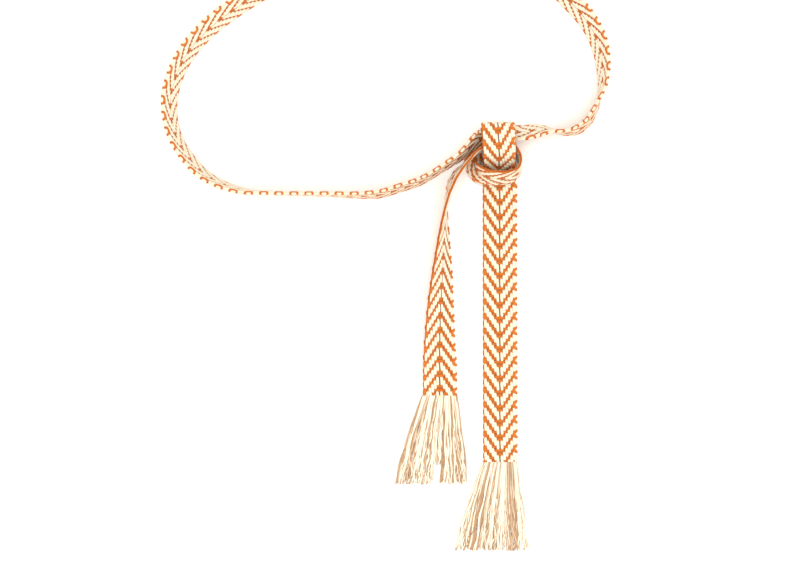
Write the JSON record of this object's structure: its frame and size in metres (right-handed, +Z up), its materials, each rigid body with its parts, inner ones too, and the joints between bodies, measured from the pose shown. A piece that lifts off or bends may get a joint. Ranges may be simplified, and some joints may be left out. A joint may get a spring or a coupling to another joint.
{
  "type": "woven tassel belt",
  "caption": "Tied woven belt with a chevron weave: a waist loop standing on its edge, a half knot, and flat free ends with fanned fringes.",
  "frame": {"origin": "On the supporting surface, under the middle of the flat long end, just below the knot.", "axes": "+Z up from the surface; +Y from the fringed ends through the knot and across the loop; +X to the right of that."},
  "size_m": [0.3739, 0.523, 0.0367],
  "materials": {
    "woven_cotton": "thick soft cotton weave in cream and orange chevrons",
    "fringe_yarn": "loose undyed cotton yarn, slightly plied and wavy"
  },
  "bodies": {
    "root": {"woven_band": "woven_cotton", "short_end_fringe": "fringe_yarn", "long_end_fringe": "fringe_yarn"}
  },
  "joints": []
}
